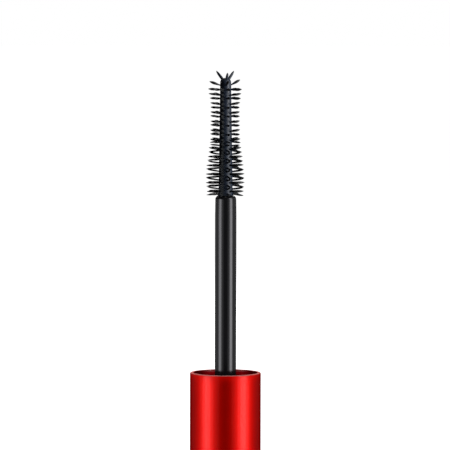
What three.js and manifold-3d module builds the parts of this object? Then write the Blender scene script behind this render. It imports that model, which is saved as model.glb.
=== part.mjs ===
// Mascara applicator: the screw cap that is also the handle, and the wand and brush that it carries.
// It stands on the cap's closed end with the brush up, the way it is shown and stored while in use.
// Millimetres, +Z up, origin at the centre of the cap's flat closed end.

import * as THREE from "three";
import { mergeVertices } from "three/addons/utils/BufferGeometryUtils.js";
import Module from "manifold-3d";

const wasm = await Module();
wasm.setup();

// ---------- driving dimensions ----------

const SEAT_GAP = 0.05; // left between two pieces that touch
const ROUND_SIDES = 64; // sides of the large round pieces
const SLIM_SIDES = 32; // sides of the slim round pieces
const ROUND_STEPS = 4; // flats in a wide round
const EDGE_STEPS = 3; // flats in the round of a thin edge

const CAP_RADIUS = 8.5;
const CAP_LENGTH = 52;
const CAP_WALL = 0.85;
const CAP_END_THICKNESS = 1;
const CAP_END_EDGE = 1; // round between the closed end and the side
const CAP_INNER_EDGE = 0.6;
const RIM_EDGE = 0.26; // round on the rim's outer edge
const RIM_INNER_EDGE = 0.08;

const PAD_RADIUS = 7;
const PAD_THICKNESS = 1;
const PAD_CHAMFER = 0.1;
const WEIGHT_RADIUS = 7.3;
const WEIGHT_LENGTH = 14;
const WEIGHT_CHAMFER = 0.5;

const MOUTH_RECESS = 4.6; // rim down to the threaded insert's mouth
const INSERT_RADIUS = 7.45;
const INSERT_LEAD_IN = 0.4;
const SKIRT_WALL = 0.8;
const FLOOR_DEPTH = 11.4; // insert's mouth down to its floor
const FLOOR_THICKNESS = 2;
const BOSS_RADIUS = 3.6;
const BOSS_LENGTH = 11.5; // floor's top down to the boss's open end
const WEB_COUNT = 4;
const WEB_THICKNESS = 0.8;
const WEB_LENGTH = 12;
const WEB_BITE = 0.4; // how far a web stands in the boss and in the skirt
const RIB_COUNT = 12;
const RIB_WIDTH = 0.6;
const RIB_HEIGHT = 0.13;
const RIB_LENGTH = 24;
const RIB_DROP = 2; // insert's mouth down to its crush ribs
const RIB_BITE = 0.3;

const THREAD_ROOT = 6.75;
const THREAD_CREST = 6.2;
const THREAD_PITCH = 2.4;
const THREAD_TURNS = 2.25;
const THREAD_START = 1.3; // insert's mouth down to the thread's first point
const THREAD_ROOT_WIDTH = 1.3;
const THREAD_CREST_WIDTH = 0.45;
const THREAD_FADE = 0.15; // turns over which each end of the thread rises
const THREAD_BITE = 0.35; // how far the thread's root stands in the wall
const THREAD_HIDDEN = 0.1; // depth of the crest in the wall at the thread's two ends
const THREAD_STEPS = 36; // sections in one turn

const WASHER_CLEARANCE = 0.15; // between the stem's flange and the washer
const WASHER_OUTER = 6.6;
const WASHER_THICKNESS = 1;
const WASHER_EDGE = 0.15;

const STEM_RADIUS = 2.56;
const STEM_RISE = 42.5; // rim up to the stem's shoulder
const SHOULDER_ROUND = 0.95;
const STEM_TAPER_LENGTH = 5;
const STEM_TIP_RADIUS = 2.5;
const FLANGE_RADIUS = 3.1;
const FLANGE_THICKNESS = 1.2;
const FLANGE_CHAMFER = 0.2;
const SPIGOT_RADIUS = 2;
const SPIGOT_LENGTH = 10;
const SPIGOT_LEAD_IN = 0.5;
const SNAP_DEPTH = 7; // flange down to the snap ring
const SNAP_LENGTH = 0.8;
const SNAP_HEIGHT = 0.25;
const SPIGOT_CLEARANCE = 0.08;
const CORE_HOLE_RADIUS = 0.9;
const SOCKET_RADIUS = 0.95;
const SOCKET_DEPTH = 8;
const SOCKET_WEB = 3.5; // solid plastic between the core hole and the brush's socket

const BRUSH_RISE = 28.1; // shoulder up to the top of the brush's dome
const BRUSH_BASE_RADIUS = 1.7;
const BRUSH_TIP_RADIUS = 1.32;
const DOME_HEIGHT = 1.3;
const PLUG_LENGTH = 7.5;
const PLUG_LEAD_IN = 0.35;

const ROW_COUNT = 12; // lengthwise rows of bristles: level in the even rows, rising in the odd ones
const FIRST_ROW = THREE.MathUtils.degToRad(-75); // measured from +X
const DENSE_ROWS = [10, 11]; // rows with both kinds
const RING_COUNT = 13;
const TOP_RING_DROP = 2.82; // dome's top down to the highest level ring
const WIDE_RINGS = 6; // rings at the wider pitch, from the top down
const WIDE_PITCH = 2.15;
const LOW_PITCH = 2.07;
const LEVEL_LIFT = 0.12; // rise of a level bristle's tip
const RAISED_RING_DROP = 1.43; // level ring down to the raised ring after it
const RAISED_TILT = THREE.MathUtils.degToRad(11);
const FORKED_FROM = 6; // rings from here down carry pairs of bristles whose tips meet
const FORK_SPREAD = 1; // between the roots of a pair
const FORK_MEET = 0.42; // how far each tip of a pair comes towards the other
const FORK_GIRTH = 0.78; // of a single bristle's girth
const LOWER_FORK_LENGTH = 0.94; // of the upper bristle's reach
const SINGLE_ROWS = [4, 10]; // rows whose pairs lack the lower bristle
const CROWDED = [[-150, 8], [-30, 11], [90, 11]]; // short bristles between rows: degrees, first half ring
const LAST_CROWDED = 14;
const CROWDED_RISE = 0.43; // above the ring's own bristles
const CROWDED_LENGTH = 0.97;
const COLLAR_DROP = 1.89; // dome's top down to the collar of rising bristles
const COLLAR = [[10, 3.5, 1.43], [100, 3.6, 1.2], [190, 3.9, 1.03], [280, 3.6, 1.2]]; // degrees, reach, rise
const CROWN_DROP = 0.6;
const CROWN = [[-74, 1.75, 1.2], [31, 2.3, 1.6], [151, 2.55, 1.6]]; // degrees, reach, rise over the dome
const REACH = [[0, 4.55], [4, 4.8], [15.5, 3.62], [21.5, 3.6], [25.2, 4.1], [28.1, 4.2]]; // height, radius
const ROOT_SHARE = 0.75; // of the core's radius, where a bristle starts inside it
const CROWN_ROOT_SHARE = 0.5;
const BRISTLE_SHAPE = [[0, 0.15], [0.64, 0.29], [1, 0.07]]; // share of the length, radius
const BRISTLE_SIDES = 4;

// ---------- heights that follow from them ----------

const rimZ = CAP_LENGTH;
const mouthZ = rimZ - MOUTH_RECESS;
const floorZ = mouthZ - FLOOR_DEPTH;
const padZ = CAP_END_THICKNESS + SEAT_GAP;
const weightZ = padZ + PAD_THICKNESS + SEAT_GAP;
const skirtZ = weightZ + WEIGHT_LENGTH + SEAT_GAP;
const bossZ = floorZ - BOSS_LENGTH;
const shoulderZ = rimZ + STEM_RISE;
const flangeZ = floorZ + SEAT_GAP;
const spigotZ = flangeZ - SPIGOT_LENGTH;
const snapZ = flangeZ - SNAP_DEPTH;
const brushZ = shoulderZ + SEAT_GAP;
const domeZ = shoulderZ + BRUSH_RISE;

// ---------- geometry helpers ----------

function point(r, z) {
  return new THREE.Vector2(r, z);
}

// Points of a round in a lathe profile, from one angle to another in degrees, 0 being away from the axis.
function round(centreR, centreZ, radius, fromDegrees, toDegrees, steps) {
  const points = [];
  for (let i = 0; i <= steps; i += 1) {
    const angle = THREE.MathUtils.degToRad(fromDegrees + ((toDegrees - fromDegrees) * i) / steps);
    points.push(point(centreR + radius * Math.cos(angle), centreZ + radius * Math.sin(angle)));
  }
  return points;
}

// A body of revolution about Z. The profile runs with the solid on its left.
function turned(profile, sides) {
  return new THREE.LatheGeometry(profile, sides).rotateX(Math.PI / 2);
}

function ringProfile(innerR, outerR, lowZ, highZ, edge) {
  return [
    point(innerR, lowZ),
    point(outerR - edge, lowZ),
    point(outerR, lowZ + edge),
    point(outerR, highZ - edge),
    point(outerR - edge, highZ),
    point(innerR, highZ),
    point(innerR, lowZ),
  ];
}

function discProfile(radius, lowZ, highZ, edge) {
  return [
    point(0, lowZ),
    point(radius - edge, lowZ),
    point(radius, lowZ + edge),
    point(radius, highZ - edge),
    point(radius - edge, highZ),
    point(0, highZ),
  ];
}

// A closed solid through a row of sections that all have the same number of points, which run
// anticlockwise as seen from the last section's side.
function lofted(sections) {
  const count = sections[0].length;
  const last = (sections.length - 1) * count;
  const index = [];
  for (let s = 0; s < sections.length - 1; s += 1) {
    for (let k = 0; k < count; k += 1) {
      const a = s * count + k;
      const b = s * count + ((k + 1) % count);
      index.push(a, b, b + count, a, b + count, a + count);
    }
  }
  for (let k = 1; k < count - 1; k += 1) {
    index.push(0, k + 1, k);
    index.push(last, last + k, last + k + 1);
  }
  const geometry = new THREE.BufferGeometry().setFromPoints(sections.flat());
  geometry.setIndex(index);
  return geometry;
}

function toSolid(geometry) {
  const bare = geometry.clone();
  bare.deleteAttribute("normal");
  bare.deleteAttribute("uv");
  const merged = mergeVertices(bare);
  const corners = merged.index.array;
  const triangles = [];
  for (let i = 0; i < corners.length; i += 3) {
    const [a, b, c] = [corners[i], corners[i + 1], corners[i + 2]];
    if (a !== b && b !== c && c !== a) triangles.push(a, b, c);
  }
  return new wasm.Manifold(
    new wasm.Mesh({
      numProp: 3,
      vertProperties: new Float32Array(merged.attributes.position.array),
      triVerts: new Uint32Array(triangles),
    }),
  );
}

function toGeometry(solid) {
  const mesh = solid.getMesh();
  const geometry = new THREE.BufferGeometry();
  geometry.setAttribute("position", new THREE.BufferAttribute(mesh.vertProperties, 3));
  geometry.setIndex(new THREE.BufferAttribute(mesh.triVerts, 1));
  geometry.computeVertexNormals();
  return geometry;
}

// ---------- the cap ----------

function capShell() {
  const innerR = CAP_RADIUS - CAP_WALL;
  const innerEdgeZ = CAP_END_THICKNESS + CAP_INNER_EDGE;
  const profile = [
    point(0, 0),
    ...round(CAP_RADIUS - CAP_END_EDGE, CAP_END_EDGE, CAP_END_EDGE, -90, 0, ROUND_STEPS),
    ...round(CAP_RADIUS - RIM_EDGE, rimZ - RIM_EDGE, RIM_EDGE, 0, 90, EDGE_STEPS),
    ...round(innerR + RIM_INNER_EDGE, rimZ - RIM_INNER_EDGE, RIM_INNER_EDGE, 90, 180, EDGE_STEPS),
    ...round(innerR - CAP_INNER_EDGE, innerEdgeZ, CAP_INNER_EDGE, 0, -90, EDGE_STEPS),
    point(0, CAP_END_THICKNESS),
  ];
  return turned(profile, ROUND_SIDES);
}

function weightPad() {
  return turned(discProfile(PAD_RADIUS, padZ, padZ + PAD_THICKNESS, PAD_CHAMFER), ROUND_SIDES);
}

function capWeight() {
  return turned(discProfile(WEIGHT_RADIUS, weightZ, weightZ + WEIGHT_LENGTH, WEIGHT_CHAMFER), ROUND_SIDES);
}

// Tube, floor, boss and snap groove of the insert, without its thread.
function insertBody() {
  const boreR = SPIGOT_RADIUS + SPIGOT_CLEARANCE;
  const grooveR = boreR + SNAP_HEIGHT;
  const skirtR = INSERT_RADIUS - SKIRT_WALL;
  const profile = [
    point(boreR, bossZ),
    point(BOSS_RADIUS, bossZ),
    point(BOSS_RADIUS, floorZ - FLOOR_THICKNESS),
    point(skirtR, floorZ - FLOOR_THICKNESS),
    point(skirtR, skirtZ),
    point(INSERT_RADIUS, skirtZ),
    point(INSERT_RADIUS, mouthZ),
    point(THREAD_ROOT + INSERT_LEAD_IN, mouthZ),
    point(THREAD_ROOT, mouthZ - INSERT_LEAD_IN),
    point(THREAD_ROOT, floorZ),
    point(boreR, floorZ),
    point(boreR, snapZ + SNAP_LENGTH + SPIGOT_CLEARANCE),
    point(grooveR, snapZ + SNAP_LENGTH + SPIGOT_CLEARANCE),
    point(grooveR, snapZ - SPIGOT_CLEARANCE),
    point(boreR, snapZ - SPIGOT_CLEARANCE),
    point(boreR, bossZ),
  ];
  return turned(profile, ROUND_SIDES);
}

// Right-hand internal thread: its section stands in the wall and reaches in to the crest.
function insertThread() {
  const steps = Math.round(THREAD_TURNS * THREAD_STEPS);
  const outerR = THREAD_ROOT + THREAD_BITE;
  const hiddenR = THREAD_ROOT + THREAD_HIDDEN;
  const sections = [];
  for (let i = 0; i <= steps; i += 1) {
    const turn = i / THREAD_STEPS;
    const angle = turn * 2 * Math.PI;
    const rise = Math.min(1, turn / THREAD_FADE, (THREAD_TURNS - turn) / THREAD_FADE);
    const crestR = THREE.MathUtils.lerp(hiddenR, THREAD_CREST, rise);
    const z = mouthZ - THREAD_START - THREAD_PITCH * (THREAD_TURNS - turn);
    const at = (r, offset) => new THREE.Vector3(r * Math.cos(angle), r * Math.sin(angle), z + offset);
    sections.push([
      at(outerR, -THREAD_ROOT_WIDTH / 2),
      at(crestR, -THREAD_CREST_WIDTH / 2),
      at(crestR, THREAD_CREST_WIDTH / 2),
      at(outerR, THREAD_ROOT_WIDTH / 2),
    ]);
  }
  return lofted(sections);
}

// A plate that stands radially between two radii, turned to an angle about Z.
function radialPlate(innerR, outerR, thickness, lowZ, length, angle) {
  const plate = new THREE.BoxGeometry(outerR - innerR, thickness, length);
  return plate.translate((innerR + outerR) / 2, 0, lowZ + length / 2).rotateZ(angle);
}

function threadedInsert() {
  const pieces = [toSolid(insertBody()), toSolid(insertThread())];
  for (let i = 0; i < WEB_COUNT; i += 1) {
    const angle = ((i + 0.5) * 2 * Math.PI) / WEB_COUNT;
    const lowZ = floorZ - FLOOR_THICKNESS / 2 - WEB_LENGTH;
    const outerR = INSERT_RADIUS - SKIRT_WALL + WEB_BITE;
    pieces.push(toSolid(radialPlate(BOSS_RADIUS - WEB_BITE, outerR, WEB_THICKNESS, lowZ, WEB_LENGTH, angle)));
  }
  for (let i = 0; i < RIB_COUNT; i += 1) {
    const angle = (i * 2 * Math.PI) / RIB_COUNT;
    const outerR = INSERT_RADIUS + RIB_HEIGHT;
    const lowZ = mouthZ - RIB_DROP - RIB_LENGTH;
    pieces.push(toSolid(radialPlate(INSERT_RADIUS - RIB_BITE, outerR, RIB_WIDTH, lowZ, RIB_LENGTH, angle)));
  }
  return toGeometry(wasm.Manifold.union(pieces));
}

function sealWasher() {
  const innerR = FLANGE_RADIUS + WASHER_CLEARANCE;
  const highZ = flangeZ + WASHER_THICKNESS;
  return turned(ringProfile(innerR, WASHER_OUTER, flangeZ, highZ, WASHER_EDGE), ROUND_SIDES);
}

// ---------- the wand ----------

function wandStem() {
  const coreHoleTop = shoulderZ - SOCKET_DEPTH - SOCKET_WEB;
  const snapR = SPIGOT_RADIUS + SNAP_HEIGHT;
  const flangeTop = flangeZ + FLANGE_THICKNESS;
  const roundZ = shoulderZ - SHOULDER_ROUND;
  const profile = [
    point(0, coreHoleTop),
    point(CORE_HOLE_RADIUS, coreHoleTop),
    point(CORE_HOLE_RADIUS, spigotZ),
    point(SPIGOT_RADIUS - SPIGOT_LEAD_IN, spigotZ),
    point(SPIGOT_RADIUS, spigotZ + SPIGOT_LEAD_IN),
    point(SPIGOT_RADIUS, snapZ),
    point(snapR, snapZ + SNAP_LENGTH / 2),
    point(snapR, snapZ + SNAP_LENGTH),
    point(SPIGOT_RADIUS, snapZ + SNAP_LENGTH),
    point(SPIGOT_RADIUS, flangeZ),
    point(FLANGE_RADIUS, flangeZ),
    point(FLANGE_RADIUS, flangeTop - FLANGE_CHAMFER),
    point(FLANGE_RADIUS - FLANGE_CHAMFER, flangeTop),
    point(STEM_RADIUS, flangeTop),
    point(STEM_RADIUS, shoulderZ - STEM_TAPER_LENGTH),
    ...round(STEM_TIP_RADIUS - SHOULDER_ROUND, roundZ, SHOULDER_ROUND, 0, 90, ROUND_STEPS),
    point(SOCKET_RADIUS, shoulderZ),
    point(SOCKET_RADIUS, shoulderZ - SOCKET_DEPTH),
    point(0, shoulderZ - SOCKET_DEPTH),
  ];
  return turned(profile, SLIM_SIDES);
}

// ---------- the brush ----------

function brushCore() {
  const plugR = SOCKET_RADIUS - SEAT_GAP;
  const profile = [
    point(0, brushZ - PLUG_LENGTH),
    point(plugR - PLUG_LEAD_IN, brushZ - PLUG_LENGTH),
    point(plugR, brushZ - PLUG_LENGTH + PLUG_LEAD_IN),
    point(plugR, brushZ),
    point(BRUSH_BASE_RADIUS, brushZ),
  ];
  for (let i = 0; i <= ROUND_STEPS; i += 1) {
    const angle = (i / ROUND_STEPS) * (Math.PI / 2);
    const r = i === ROUND_STEPS ? 0 : BRUSH_TIP_RADIUS * Math.cos(angle);
    profile.push(point(r, domeZ - DOME_HEIGHT * (1 - Math.sin(angle))));
  }
  return turned(profile, SLIM_SIDES / 2);
}

function coreRadiusAt(z) {
  const along = THREE.MathUtils.clamp((z - brushZ) / (domeZ - DOME_HEIGHT - brushZ), 0, 1);
  return THREE.MathUtils.lerp(BRUSH_BASE_RADIUS, BRUSH_TIP_RADIUS, along);
}

// Distance of the bristle tips from the axis: a belly near the base, a waist, and a flare at the top.
function reachAt(z) {
  const rise = z - shoulderZ;
  for (let i = 1; i < REACH.length; i += 1) {
    const [low, lowReach] = REACH[i - 1];
    const [high, highReach] = REACH[i];
    const along = THREE.MathUtils.smoothstep(rise, low, high);
    if (rise < high) return THREE.MathUtils.lerp(lowReach, highReach, along);
  }
  return REACH.at(-1)[1];
}

// A point at an angle and a distance from the axis.
function polar(angle, r, z) {
  return new THREE.Vector3(r * Math.cos(angle), r * Math.sin(angle), z);
}

// One pointed bristle, slim at its root, from a point inside the core to its tip.
function bristle(root, tip, girth = 1) {
  const along = tip.clone().sub(root).normalize();
  const side = new THREE.Vector3().crossVectors(along, new THREE.Vector3(0, 0, 1)).normalize();
  const up = new THREE.Vector3().crossVectors(along, side);
  const sections = BRISTLE_SHAPE.map(([share, radius]) => {
    const centre = root.clone().lerp(tip, share);
    const corners = [];
    for (let k = 0; k < BRISTLE_SIDES; k += 1) {
      const angle = (k * 2 * Math.PI) / BRISTLE_SIDES;
      const corner = centre.clone().addScaledVector(side, radius * girth * Math.cos(angle));
      corners.push(corner.addScaledVector(up, radius * girth * Math.sin(angle)));
    }
    return corners;
  });
  return lofted(sections);
}

// A bristle of a lengthwise row, given by where it leaves the core and by its tip's height over that.
function rowBristle(angle, rootZ, lift, lengthShare = 1, girth = 1) {
  const root = polar(angle, coreRadiusAt(rootZ) * ROOT_SHARE, rootZ);
  const tip = polar(angle, reachAt(rootZ + lift) * lengthShare, rootZ + lift);
  return bristle(root, tip, girth);
}

function rowAngle(row) {
  return FIRST_ROW + (row * 2 * Math.PI) / ROW_COUNT;
}

// The rows whose number has this remainder when it is halved, and the dense ones.
function rowsWith(remainder) {
  const rows = [];
  for (let row = 0; row < ROW_COUNT; row += 1) {
    if (row % 2 === remainder || DENSE_ROWS.includes(row)) rows.push(row);
  }
  return rows;
}

// Height of a level ring, counted from the top down.
function ringHeight(ring) {
  const wide = Math.min(ring, WIDE_RINGS);
  return domeZ - TOP_RING_DROP - WIDE_PITCH * wide - LOW_PITCH * (ring - wide);
}

function levelBristles(ring) {
  const z = ringHeight(ring);
  const bristles = [];
  for (const row of rowsWith(0)) {
    const angle = rowAngle(row);
    if (ring < FORKED_FROM) {
      bristles.push(rowBristle(angle, z, LEVEL_LIFT));
      continue;
    }
    bristles.push(rowBristle(angle, z + FORK_SPREAD / 2, -FORK_MEET, 1, FORK_GIRTH));
    if (ring < RING_COUNT - 1 && !SINGLE_ROWS.includes(row)) {
      bristles.push(rowBristle(angle, z - FORK_SPREAD / 2, FORK_MEET, LOWER_FORK_LENGTH, FORK_GIRTH));
    }
  }
  return bristles;
}

// The raised bristles under a ring; low on the brush they are level and stand half a pitch lower.
function raisedBristles(ring) {
  const low = ring > FORKED_FROM;
  const z = ringHeight(ring) - (low ? LOW_PITCH / 2 : RAISED_RING_DROP);
  const lift = low ? 0 : Math.tan(RAISED_TILT) * (reachAt(z) - coreRadiusAt(z));
  return rowsWith(1).map((row) => rowBristle(rowAngle(row), z, lift));
}

function crowdedBristles() {
  const bristles = [];
  for (const [degrees, first] of CROWDED) {
    const angle = THREE.MathUtils.degToRad(degrees);
    for (let half = first; half < LAST_CROWDED; half += 1) {
      const z = ringHeight(Math.floor(half / 2)) + CROWDED_RISE - (half % 2) * RAISED_RING_DROP;
      bristles.push(rowBristle(angle, z, LEVEL_LIFT, CROWDED_LENGTH));
    }
  }
  return bristles;
}

function collarBristles() {
  const z = domeZ - COLLAR_DROP;
  return COLLAR.map(([degrees, tipR, rise]) => {
    const angle = THREE.MathUtils.degToRad(degrees);
    return bristle(polar(angle, BRUSH_TIP_RADIUS * ROOT_SHARE, z), polar(angle, tipR, z + rise));
  });
}

function crownBristles() {
  return CROWN.map(([degrees, tipR, rise]) => {
    const angle = THREE.MathUtils.degToRad(degrees);
    const root = polar(angle, BRUSH_TIP_RADIUS * CROWN_ROOT_SHARE, domeZ - CROWN_DROP);
    return bristle(root, polar(angle, tipR, domeZ + rise));
  });
}

function brush() {
  const bristles = [...crownBristles(), ...collarBristles(), ...crowdedBristles()];
  for (let ring = 0; ring < RING_COUNT; ring += 1) {
    bristles.push(...levelBristles(ring));
    if (ring < RING_COUNT - 1) bristles.push(...raisedBristles(ring));
  }
  return toGeometry(wasm.Manifold.union([toSolid(brushCore()), ...bristles.map(toSolid)]));
}

// ---------- assembly ----------

function finish(color, roughness, metalness) {
  return new THREE.MeshStandardMaterial({ color, roughness, metalness });
}

const applicator = new THREE.Group();

function addPart(name, geometry, material) {
  const mesh = new THREE.Mesh(geometry, material);
  mesh.name = name;
  applicator.add(mesh);
}

addPart("cap_shell", capShell(), finish(0xb80c0c, 0.32, 1));
addPart("weight_pad", weightPad(), finish(0x3a3a3c, 0.95, 0));
addPart("cap_weight", capWeight(), finish(0x8d8f93, 0.45, 1));
addPart("threaded_insert", threadedInsert(), finish(0x16161a, 0.5, 0));
addPart("seal_washer", sealWasher(), finish(0xd9d7cf, 0.7, 0));
addPart("wand_stem", wandStem(), finish(0x101012, 0.22, 0));
addPart("brush", brush(), finish(0x131519, 0.5, 0));

export default applicator;
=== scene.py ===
# Looks of the mascara applicator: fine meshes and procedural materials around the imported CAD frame.
# Places and sizes come from the frame; metres, +Z up, brush up, the cap's closed end on the floor.
import math
import random

import bpy
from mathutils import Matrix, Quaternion, Vector


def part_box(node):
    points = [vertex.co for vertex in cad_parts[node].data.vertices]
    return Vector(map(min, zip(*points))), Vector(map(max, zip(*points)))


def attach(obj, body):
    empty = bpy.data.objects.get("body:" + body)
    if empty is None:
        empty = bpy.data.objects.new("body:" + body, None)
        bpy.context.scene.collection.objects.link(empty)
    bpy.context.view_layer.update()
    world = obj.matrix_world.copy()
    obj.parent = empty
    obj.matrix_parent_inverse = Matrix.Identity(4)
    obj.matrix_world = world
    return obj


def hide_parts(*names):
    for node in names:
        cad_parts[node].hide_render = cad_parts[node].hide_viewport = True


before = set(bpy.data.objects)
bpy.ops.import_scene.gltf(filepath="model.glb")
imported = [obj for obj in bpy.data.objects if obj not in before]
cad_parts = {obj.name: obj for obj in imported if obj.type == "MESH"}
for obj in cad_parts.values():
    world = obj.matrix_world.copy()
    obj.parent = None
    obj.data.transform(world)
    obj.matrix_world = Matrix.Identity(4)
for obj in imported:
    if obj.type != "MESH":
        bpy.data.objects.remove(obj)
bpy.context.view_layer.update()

MM = 0.001

# ---------- sizes that the frame gives ----------


def span(node):
    """Largest radius, lowest height and highest height of a CAD node, in metres."""
    low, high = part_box(node)
    return high.x, low.z, high.z


CAP_RADIUS, FLOOR_Z, RIM_Z = span("cap_shell")
INSERT_RADIUS, SKIRT_Z, MOUTH_Z = span("threaded_insert")
WASHER_RADIUS, WASHER_LOW, WASHER_HIGH = span("seal_washer")
WEIGHT_RADIUS, WEIGHT_LOW, WEIGHT_HIGH = span("cap_weight")
PAD_RADIUS, PAD_LOW, PAD_HIGH = span("weight_pad")
FLANGE_RADIUS, SPIGOT_Z, SHOULDER_Z = span("wand_stem")
PLUG_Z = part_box("brush")[0].z

# ---------- sizes of the details ----------
# Most of them are the CAD's too; the finest are only here.

SEAT_GAP = 0.05 * MM  # between two pieces that touch
SMALL_EDGE = 0.15 * MM  # round on the edges of the pad, the washer and the insert's mouth

CAP_WALL = 0.85 * MM
CAP_BORE = CAP_RADIUS - CAP_WALL
CAP_END_THICKNESS = 1.0 * MM
CAP_END_EDGE = 1.0 * MM
CAP_INNER_EDGE = 0.6 * MM
RIM_EDGE = 0.26 * MM
RIM_INNER_EDGE = 0.08 * MM
BRIGHT_CUT = (0.6, 0.1)  # where the rim's bright cut starts and is full: shares of RIM_EDGE below the top
BORE_PAINTED_SHADE = (0.03 * MM, 0.12 * MM)  # where the painted shade inside the bore starts to fade and ends, off the bore
RIM_BAND = 1.8 * MM  # depth of the brushed band under the rim
RIM_ROUGHENING = 0.16  # how much rougher the band is at the rim
WEIGHT_CHAMFER = 0.5 * MM

RIB_HEIGHT = 0.13 * MM
TUBE_RADIUS = INSERT_RADIUS - RIB_HEIGHT
INSERT_WALL = 0.8 * MM
INSERT_FLOOR = 2.0 * MM
INSERT_FLOOR_Z = WASHER_LOW - SEAT_GAP
INSERT_LEAD_IN = 0.4 * MM
RIB_COUNT = 12
RIB_WIDTH = 0.6 * MM
RIB_LENGTH = 24.0 * MM
RIB_DROP = 2.0 * MM
RIB_BITE = 0.3 * MM  # how far a rib stands in the tube
WEB_COUNT = 4
WEB_THICKNESS = 0.8 * MM
WEB_LENGTH = 12.0 * MM
WEB_BITE = 0.4 * MM  # how far a web stands in the boss and in the tube
BOSS_RADIUS = 3.6 * MM
BOSS_LENGTH = 11.5 * MM
BOSS_BORE = 2.08 * MM

THREAD_ROOT = 6.75 * MM
THREAD_CREST = 6.2 * MM
THREAD_PITCH = 2.4 * MM
THREAD_TURNS = 2.25
THREAD_START = 1.3 * MM
THREAD_ROOT_WIDTH = 1.3 * MM
THREAD_CREST_WIDTH = 0.45 * MM
THREAD_FADE = 0.15  # turns over which each end of the thread rises
THREAD_BITE = 0.3 * MM  # how far the thread's root stands in the wall
THREAD_HIDDEN = 0.1 * MM  # depth of the crest in the wall at the thread's two ends
CREST_EDGE = (0.07 * MM, 0.08 * MM)  # the chamfer on the crest: its depth, and its width
THREAD_STEPS = 96  # sections in one turn

WASHER_HOLE = 3.25 * MM
STEM_RADIUS = 2.56 * MM
STEM_TIP_RADIUS = 2.5 * MM
STEM_TAPER = 5.0 * MM
SHOULDER_ROUND = 0.95 * MM
FLANGE_THICKNESS = 1.2 * MM
FLANGE_EDGE = 0.2 * MM
SPIGOT_RADIUS = 2.0 * MM
SPIGOT_LEAD_IN = (0.4 * MM, 0.6 * MM)  # across, and along
SNAP_DEPTH = 7.0 * MM
SNAP_LENGTH = 0.8 * MM
SNAP_HEIGHT = 0.25 * MM
CORE_HOLE_RADIUS = 0.9 * MM
SOCKET_RADIUS = 0.95 * MM
SOCKET_DEPTH = 8.0 * MM
SOCKET_WEB = 3.5 * MM

# ---------- sizes of the brush ----------

PLUG_LEAD_IN = (0.3 * MM, 0.4 * MM)
BRUSH_RISE = 28.1 * MM
BRUSH_BASE_RADIUS = 1.70 * MM
BRUSH_TIP_RADIUS = 1.32 * MM
CORE_FOOT = ((0.25, 0.0), (0.06, 0.2), (0.0, 0.5))  # mm wider than the core, at mm over the shoulder
CORE_STEPS = 12
DOME_HEIGHT = 1.3 * MM
DOME_TOP = SHOULDER_Z + BRUSH_RISE
DOME_FOOT = DOME_TOP - DOME_HEIGHT
DOME_POWERS = (0.7, 0.9)  # across and up; below 1 the dome is blunter than an ellipse
DOME_STEPS = 12
TINT_FADE = 0.6 * MM  # the distance over which the core's bluish tint fades along the bristles
LEAN_AT_BASE = 0.04 * MM  # how far the core stands to the left of the stem's axis
LEAN_AT_TOP = 0.09 * MM

ROW_COUNT = 12
FIRST_ROW = math.radians(-75)
DENSE_ROWS = (10, 11)  # rows with both the level and the raised bristles
COMB_ROW = 11  # one of them has twice as many again
COMB_SHARES = (0.25, 0.75)  # where those stand below a ring, in shares of the pitch
RING_COUNT = 13
TOP_RING_DROP = 2.82 * MM
RING_PITCH = 2.15 * MM
LOW_RING_PITCH = 2.07 * MM
WIDE_RINGS = 6  # rings at the wider pitch, from the top down
LEVEL_LIFT = 0.12 * MM
RAISED_RING_DROP = 1.43 * MM
RAISED_TILT = math.radians(11)
ROOT_SHARE = 0.75  # of the core's radius, where a bristle starts inside it

FORKED_FROM = 6  # rings from here down carry pairs of bristles whose tips come together
FORK_SPREAD = 1.0 * MM
SINGLE_ROWS = (4, 10)  # rows whose pairs lack the lower bristle
# How far the tips of a pair come together, 1 if they touch.
FORK_MEET = 0.85
FIRST_FORK_MEET = 0.5
SINGLE_MEET = 0.3
LOWER_FORK_LENGTH = 0.94

# Short bristles between the rows: degrees from +X, the first half ring and the one after the last.
CROWDED = ((-150, 8, 14), (-30, 11, 14), (90, 11, 13), (-150, 21, 25))
CROWDED_RISE = 0.43 * MM  # above the ring's own bristles
CROWDED_LIFTS = (0.1 * MM, 0.35 * MM)  # at a level and at a raised half ring
CROWDED_LENGTH = 0.97

# Single bristles around the top of the core: degrees from +X, and millimetres of reach and of rise.
COLLAR_DROP = 1.89 * MM
COLLAR = ((10, 3.5, 1.43), (100, 3.6, 1.2), (190, 3.9, 1.03), (280, 3.6, 1.2))
CROWN_DROP = 0.6 * MM
CROWN = ((-74, 1.75, 1.2), (31, 2.3, 1.6), (151, 2.55, 1.6))
CROWN_ROOT_SHARE = 0.5

# How far the bristle tips stand from the axis, by height over the shoulder, in millimetres.
REACH = ((0.0, 4.55), (4.0, 4.8), (15.5, 3.62), (21.5, 3.6), (25.2, 4.1), (28.1, 4.2))
REACH_LEAN = 0.13 * MM  # how much further they stand on the left than in the middle

# A bristle's radius in millimetres, by share of its length from its root in the core.
BRISTLE_SHAPE = (
    (0.00, 0.15),
    (0.14, 0.14),
    (0.30, 0.18),
    (0.45, 0.25),
    (0.60, 0.30),
    (0.74, 0.29),
    (0.86, 0.21),
    (0.95, 0.11),
    (1.00, 0.04),
)
# Low on the brush the bristles are nearly as stout at their root.
LOW_SHAPE = (
    (0.00, 0.24),
    (0.20, 0.26),
    (0.40, 0.28),
    (0.60, 0.29),
    (0.74, 0.27),
    (0.86, 0.20),
    (0.95, 0.11),
    (1.00, 0.04),
)
# The dome's bristles are stoutest at their foot.
CROWN_SHAPE = (
    (0.00, 0.34),
    (0.35, 0.34),
    (0.55, 0.32),
    (0.72, 0.28),
    (0.86, 0.21),
    (0.95, 0.12),
    (1.00, 0.05),
)
BRISTLE_SIDES = 10

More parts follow.
